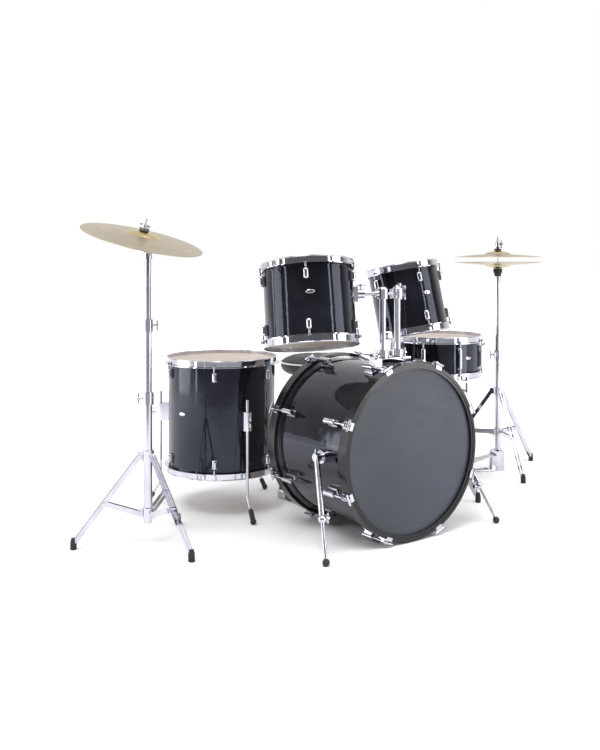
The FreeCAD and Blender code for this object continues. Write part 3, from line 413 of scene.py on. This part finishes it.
crash_axis = Vector(JOINTS["crash_spin"]["axis"]).normalized()
crash_centre = Vector(JOINTS["crash_spin"]["pos_m"])
cymbal("crash_cymbal_sheet", "crash_cymbal", crash_centre - crash_axis * 29 * MM, crash_axis,
       203.2 * MM, 52 * MM, 15 * MM, 14 * MM)
for label, up in (("top", 1), ("bottom", -1)):
    low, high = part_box(f"hihat_{label}_cymbal")
    rim = low.z if up > 0 else high.z
    centre = Vector(((low.x + high.x) / 2, (low.y + high.y) / 2, rim))
    cymbal(f"hihat_{label}_sheet", f"hihat_{label}_cymbal", centre, (0, 0, up),
           (high.x - low.x) / 2, 58 * MM, 11 * MM, 16 * MM)


# Felt washers of the crash cymbal.

def washer(radius, bore, low, high, steps):
    """A closed section with rounded corners."""
    corner = (high - low) * 0.32
    arcs = [((bore + corner, low + corner), 180), ((radius - corner, low + corner), 270),
            ((radius - corner, high - corner), 0), ((bore + corner, high - corner), 90)]
    return [(x + corner * math.cos(math.radians(start + 90 * step / steps)),
             z + corner * math.sin(math.radians(start + 90 * step / steps)))
            for (x, z), start in arcs for step in range(steps + 1)]


def fuzzed(verts, centre, amount, seed):
    """Small random lift away from the centre, the same on every run."""
    draw = random.Random(seed)
    return [v + (v - centre).normalized() * draw.uniform(-amount, amount) for v in verts]


grey_wool = finish("grey_wool_felt", wool(rgb(0.20, 0.19, 0.18), rgb(0.07, 0.066, 0.062)), **{"Sheen Weight": 0.25})
felt_parts = []
for low, high in ((-10 * MM, -1 * MM), (1.9 * MM, 10.9 * MM)):
    verts, faces = turned(washer(17 * MM, 6.4 * MM, low, high, 5), crash_centre, crash_axis, 96)
    felt_parts.append((fuzzed(verts, crash_centre, 0.12 * MM, 4), faces))
felts = add_piece("crash_felt_washers", *merged(felt_parts), "crash_felts", "felt", grey_wool, math.radians(80))
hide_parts("crash_felts")


# Rubber feet of the four stands: ribbed boots where the plain solids stand.

def loose_parts(node):
    """The corners of each separate solid of a node."""
    mesh = NODES[node].data
    owner = list(range(len(mesh.vertices)))

    def root(i):
        while owner[i] != i:
            owner[i] = owner[owner[i]]
            i = owner[i]
        return i

    for edge in mesh.edges:
        a, b = edge.vertices
        owner[root(a)] = root(b)
    points = vertices_of(node)
    spots = {}
    for index, point in enumerate(points):
        spots.setdefault(tuple(np.round(point, 5)), []).append(index)
    for same in spots.values():
        for index in same[1:]:
            owner[root(same[0])] = root(index)
    found = {}
    for index in range(len(points)):
        found.setdefault(root(index), []).append(index)
    return [(points[group].min(0), points[group].max(0)) for group in found.values()]


def boot_profile(radius, height):
    """A boot turned about Z: domed sole, four ribs, tapered neck with a rolled mouth."""
    section = [(0.0, 0.0), (radius * 0.72, 0.0), (radius * 0.93, 1.2 * MM), (radius, 3.5 * MM)]
    for rib in range(4):
        base = 6 * MM + rib * 4.2 * MM
        section += [(radius, base), (radius * 0.90, base + 0.9 * MM),
                    (radius * 0.90, base + 1.9 * MM), (radius, base + 2.8 * MM)]
    section += [(radius * 0.96, height * 0.64), (radius * 0.84, height * 0.8), (radius * 0.74, height * 0.92),
                (radius * 0.76, height * 0.95), (radius * 0.74, height * 0.99), (radius * 0.66, height), (0.0, height)]
    return section


black_rubber = finish("moulded_black_rubber", rubber)
boots = []
for low, high in loose_parts("rubber_feet"):
    middle = (low + high) / 2
    verts, faces = turned(boot_profile((high[0] - low[0]) / 2, high[2] - low[2]),
                          (middle[0], middle[1], low[2]), (0, 0, 1), 40)
    boots.append((verts, faces))
feet = add_piece("rubber_boots", *merged(boots), "kit", "rubber", black_rubber)
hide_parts("rubber_feet")


# Throne seat: a padded round cushion, blown up a little as cloth, with piping after it.

def seat_blank(radius, half, edge, steps, rings):
    """A closed round pad about Z, crowned above and flat below."""
    section = []
    for step in range(rings + 1):
        share = step / rings
        r = (radius - edge) * share
        section.append((r, -half))
    for step in range(1, 9):
        a = math.radians(-90 + 180 * step / 9)
        section.append((radius - edge + edge * math.cos(a), (half - edge * 0.2) * math.sin(a) if a > 0
                        else half * math.sin(a)))
    for step in range(rings + 1):
        share = 1 - step / rings
        r = (radius - edge) * share
        section.append((r, half - edge * 0.2 * share ** 2))
    return section


def swell(piece, voxel, pressure, cap, first=1, last=20):
    """Remesh, blow up as cloth without gravity, cap each point's travel, then apply."""
    scene = bpy.context.scene
    bpy.context.view_layer.objects.active = piece
    remesh = piece.modifiers.new("Even", "REMESH")
    remesh.mode = "VOXEL"
    remesh.voxel_size = voxel
    bpy.ops.object.modifier_apply(modifier=remesh.name)
    start = np.array([v.co for v in piece.data.vertices])
    cloth = piece.modifiers.new("Fill", "CLOTH")
    cloth.settings.use_pressure = True
    cloth.settings.uniform_pressure_force = pressure
    cloth.settings.effector_weights.gravity = 0
    cloth.settings.tension_stiffness = 25
    cloth.settings.compression_stiffness = 25
    cloth.settings.bending_stiffness = 2
    cloth.point_cache.frame_start = first
    cloth.point_cache.frame_end = last
    for number in range(first, last + 1):
        scene.frame_set(number)
    settled = piece.evaluated_get(bpy.context.evaluated_depsgraph_get())
    end = np.array([v.co for v in settled.data.vertices])
    scene.frame_set(first)
    piece.modifiers.remove(cloth)
    move = end - start
    far = np.linalg.norm(move, axis=1, keepdims=True)
    move = move * np.minimum(1, cap / np.maximum(far, 1e-9))
    for vertex, point in zip(piece.data.vertices, start + move):
        vertex.co = point


def tufted(piece, centre, half, radius):
    """Draws the top down along four sewn lines and at a centre button."""
    for vertex in piece.data.vertices:
        x, y, z = vertex.co - centre
        if z <= 0:
            continue
        r = math.hypot(x, y)
        along = abs(math.sin(2 * math.atan2(y, x))) * r
        fade = max(0.0, 1 - (r / (radius * 0.93)) ** 6)
        dip = 3.2 * MM * math.exp(-(along / (11 * MM)) ** 2) * fade + 4 * MM * math.exp(-(r / (16 * MM)) ** 2)
        vertex.co.z -= dip * (z / half)


black_vinyl = finish("black_seat_vinyl", vinyl, **{"Specular IOR Level": 0.4})
pale_piping = finish("pale_piping_vinyl", piping_vinyl)
seat_low, seat_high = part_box("throne_seat")
seat_centre = (seat_low + seat_high) / 2
seat_half = (seat_high.z - seat_low.z) / 2
seat_radius = (seat_high.x - seat_low.x) / 2
inset = 7 * MM
blank = seat_blank(seat_radius - inset, seat_half - inset * 0.7, 24 * MM, 72, 10)
verts, faces = turned(blank, seat_centre, (0, 0, 1), 96)
seat = add_piece("throne_cushion", verts, faces, "throne_seat", "vinyl", black_vinyl, math.radians(180))
swell(seat, 6 * MM, 4, 9 * MM)
tufted(seat, seat_centre, seat_half, seat_radius)
for vertex in seat.data.vertices:
    vertex.co.z = min(max(vertex.co.z, seat_low.z), seat_high.z)
seat.data.shade_smooth()
rounding = seat.modifiers.new("Round", "SUBSURF")
rounding.levels = rounding.render_levels = 1
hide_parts("throne_seat")


def bead_ring(radius, level, thick, steps):
    """A round bead about the seat's middle."""
    section = [(radius + thick * math.cos(a), thick * math.sin(a))
               for a in (math.tau * i / 10 for i in range(10))]
    return turned(section, (seat_centre.x, seat_centre.y, level), (0, 0, 1), steps)


bead = 3.4 * MM
beads = merged([bead_ring(seat_radius - bead - 1 * MM, seat_high.z - 27 * MM, bead, 120)])
piping = add_piece("throne_piping", *beads, "throne_seat", "vinyl", pale_piping, math.radians(180))


# Blank oval plates and vent rings on the shells.

def shell_fitting(name, node, turn, lift, width, height, slot, material):
    """A thin domed oval standing on a shell, turned from the audience side about the drum's axis."""
    centre, axis, radius, half = drum_of(node)
    if axis.z < 0:
        axis = -axis
    toward = Vector((-0.6, -0.8, 0))
    out = (toward - axis * toward.dot(axis)).normalized()
    out = Matrix.Rotation(math.radians(turn), 3, axis) @ out
    side = axis.cross(out)
    rings = []
    steps = 40
    rows = ((0.0, 1.7), (0.55, 1.6), (0.86, 1.35), (0.97, 0.9), (1.0, 0.3))
    for share, proud in rows:
        for step in range(steps):
            a = math.tau * step / steps
            across = width / 2 * share * math.cos(a)
            up = height / 2 * share * math.sin(a)
            bend = across / radius
            rings.append(centre + axis * (lift * half + up)
                         + (out * math.cos(bend) + side * math.sin(bend)) * (radius + proud * MM))
    faces = [(row * steps + step, row * steps + (step + 1) % steps,
              (row + 1) * steps + (step + 1) % steps, (row + 1) * steps + step)
             for row in range(len(rows) - 1) for step in range(steps)]
    faces.append(tuple((len(rows) - 1) * steps + step for step in range(steps)))
    return add_piece(name, rings, faces, BODY_OF[node], slot, material, math.radians(60))


black_lacquer = finish("black_gloss_wrap", lacquer,
                       **{"Specular IOR Level": 0.5, "Specular Tint": rgb(0.74, 0.80, 1.0)})
polished = finish("polished_chrome", chrome)
plates = (("left_tom", 2, 0.18, 30), ("right_tom", 30, 0.1, 30), ("floor_tom", -41, 0.08, 34), ("snare", 38, 0.0, 30))
for label, turn, lift, width in plates:
    shell_fitting(f"{label}_plate", f"{label}_shell", turn, lift, width * MM, 13 * MM, "chrome", polished)
    shell_fitting(f"{label}_vent_ring", f"{label}_shell", turn + 75, 0.0, 12 * MM, 12 * MM, "chrome", polished)


# Kept CAD nodes and their finishes.

def below(level):
    return lambda f: f.height().ramp(level + 0.3 * MM, level - 0.3 * MM)


def above(level):
    return lambda f: f.height().ramp(level - 0.3 * MM, level + 0.3 * MM)


def past(point, axis, distance):
    return lambda f: f.along_axis(point, axis).ramp(distance - 0.3 * MM, distance + 0.3 * MM)


for node in ("bass_drum_shell", "left_tom_shell", "right_tom_shell", "floor_tom_shell", "snare_shell"):
    dress(node, black_lacquer)
dress("bass_drum_hoops", finish("black_hoop_lacquer", hoop_lacquer, **{"Specular IOR Level": 0.4}))
front_face = (0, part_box("bass_drum_front_head")[0].y, 0)
batter_face = (0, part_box("bass_drum_batter_head")[1].y, 0)
film_depth = 1.3 * MM
dress("bass_drum_front_head", finish("dark_satin_film_in_metal_ring", masked(
    satin_film, drawn_steel, past(front_face, (0, 1, 0), film_depth)), **{"Specular IOR Level": 0.5}))
dress("bass_drum_batter_head", finish("coated_film_in_metal_ring", masked(
    coated_film, drawn_steel, past(batter_face, (0, -1, 0), film_depth)), **{"Specular IOR Level": 0.4}))
white_head = finish("coated_white_film", coated_film, **{"Specular IOR Level": 0.4})
for node in ("left_tom_heads", "right_tom_heads", "floor_tom_heads", "snare_heads"):
    dress(node, white_head)
dress("snare_wires", finish("drawn_steel_wire", drawn_steel))
cast = finish("cast_pedal_metal", cast_metal)
dress("hihat_footboard", cast)
dress("bass_pedal_footboard", cast)
dress("throne_seat_plate", finish("satin_black_paint", satin_paint))
plain_chrome = [entry["node"] for entry in RECORD["subparts"] if entry["material_slot"] == "chrome"]
for node in plain_chrome:
    dress(node, polished)

spur_feet = finish("chrome_spur_with_rubber_foot", masked(chrome, rubber, below(24 * MM)))
for node in ("left_spur", "right_spur"):
    dress(node, spur_feet)
leg_tips = finish("chrome_leg_with_rubber_tip", masked(chrome, rubber, below(51 * MM)))
for number in (1, 2, 3):
    dress(f"floor_tom_leg_{number}", leg_tips)
cup_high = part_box("hihat_upper_tube")[1]
black_felt = wool(rgb(0.05, 0.048, 0.046), rgb(0.012, 0.012, 0.012))
dress("hihat_upper_tube", finish("chrome_tube_with_black_cup",
                                 masked(chrome, black_felt, above(cup_high.z - 34 * MM))))
clutch_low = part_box("hihat_clutch")[0]
dress("hihat_clutch", finish("chrome_clutch_with_black_felts",
                             masked(chrome, black_felt, below(clutch_low.z + 40 * MM))))
swing = JOINTS["beater_swing"]
axle = Vector(swing["pos_m"])
beater_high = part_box("bass_pedal_beater")[1]
shaft_turn = math.atan2(beater_high.y - 30 * MM - axle.y, beater_high.z - 22 * MM - axle.z)
shaft = (0, math.sin(shaft_turn), math.cos(shaft_turn))
dress("bass_pedal_beater", finish("chrome_beater_with_felt_head",
                                  masked(chrome, wool(rgb(0.62, 0.60, 0.56), rgb(0.40, 0.38, 0.35)),
                                         past(tuple(axle), shaft, 124 * MM))))


# Floor, lights, room and camera.

LAMP_TARGET = Vector((0.1, 0, 0.5))


def wide_floor():
    """A large pale disc with painted shade: its colour darkens towards its far front rim, standing in for lamp
    falloff.
    """
    floor = Finish(bpy.data.materials.new("pale_floor_with_painted_falloff_shade"))
    scuff = floor.noise(3, 4)
    # Painted shade: the floor's colour goes from pale to dark grey towards the front, in place of light falling off.
    front = floor.along_axis((0.15, 0.1, 0), (-0.597, -0.802, 0)).ramp(1.9, 3.2)
    tone = floor.tint(front, rgb(0.86, 0.86, 0.87), rgb(0.30, 0.30, 0.32))
    shader = floor.node("BsdfDiffuse", sockets={"Color": tone, "Roughness": scuff * 0.1})
    floor.node("OutputMaterial", sockets={"Surface": shader})
    steps = 96
    reach = 40.0
    mesh = bpy.data.meshes.new("floor")
    mesh.from_pydata([(reach * math.cos(math.tau * i / steps), reach * math.sin(math.tau * i / steps), 0)
                      for i in range(steps)], [], [tuple(range(steps))])
    disc = bpy.data.objects.new("floor", mesh)
    mesh.materials.append(floor.owner)
    bpy.context.scene.collection.objects.link(disc)


def softbox(name, bearing, distance, level, width, height, power):
    lamp = bpy.data.lights.new(name, "AREA")
    lamp.shape = "RECTANGLE"
    lamp.size, lamp.size_y, lamp.energy = width, height, power
    holder = bpy.data.objects.new(name, lamp)
    spot = Vector((distance * math.cos(math.radians(bearing)), distance * math.sin(math.radians(bearing)), level))
    aim = (LAMP_TARGET - spot).to_track_quat("-Z", "Y").to_matrix().to_4x4()
    holder.matrix_world = Matrix.Translation(spot) @ aim
    holder.visible_camera = False
    bpy.context.scene.collection.objects.link(holder)


def sun(name, bearing, elevation, strength, spread):
    lamp = bpy.data.lights.new(name, "SUN")
    lamp.energy, lamp.angle = strength, math.radians(spread)
    holder = bpy.data.objects.new(name, lamp)
    a, e = math.radians(bearing), math.radians(elevation)
    toward = Vector((math.cos(a) * math.cos(e), math.sin(a) * math.cos(e), math.sin(e)))
    holder.rotation_euler = toward.to_track_quat("Z", "Y").to_euler()
    bpy.context.scene.collection.objects.link(holder)


wide_floor()
sun("key", 205, 62, 2.1, 30)
sun("fill", 300, 55, 1.1, 40)
softbox("left_panel", 150, 3.6, 1.1, 1.9, 2.4, 46)
softbox("right_panel", 306, 3.6, 1.1, 1.5, 2.4, 36)
softbox("left_strip", 178, 3.4, 1.1, 0.22, 2.4, 9)
softbox("right_strip", 284, 3.4, 1.1, 0.22, 2.4, 11)

room = bpy.data.worlds.new("studio")
bpy.context.scene.world = room
air = Finish(room)
ray = air.node("TexCoord", out=0)
away = air.vector("DOT_PRODUCT", ray, (0.597, 0.802, 0.0), out="Value")
lift = air.node("SeparateXYZ", sockets={0: ray}, out=2)
tone = away.ramp(0.05, 0.6).most(lift.ramp(0.35, 0.95) * 0.8) * 0.84 + 0.16
back = air.node("Background", sockets={"Color": air.tint(tone, rgb(0, 0, 0), rgb(1, 1, 1.0)), "Strength": 1.0})
air.node("OutputWorld", sockets={"Surface": back})

camera = bpy.data.cameras.new("camera")
camera.lens, camera.sensor_width = 44.7, 36
camera.shift_x, camera.shift_y = -0.0027, -0.1617
camera.clip_start, camera.clip_end = 0.05, 200
eye = bpy.data.objects.new("camera", camera)
eye.location = (-2.1656, -2.7124, 0.9670)
eye.rotation_euler = (math.radians(90), 0, math.radians(-36.63))
bpy.context.scene.collection.objects.link(eye)
bpy.context.scene.camera = eye
bpy.context.scene.view_settings.view_transform = "Standard"
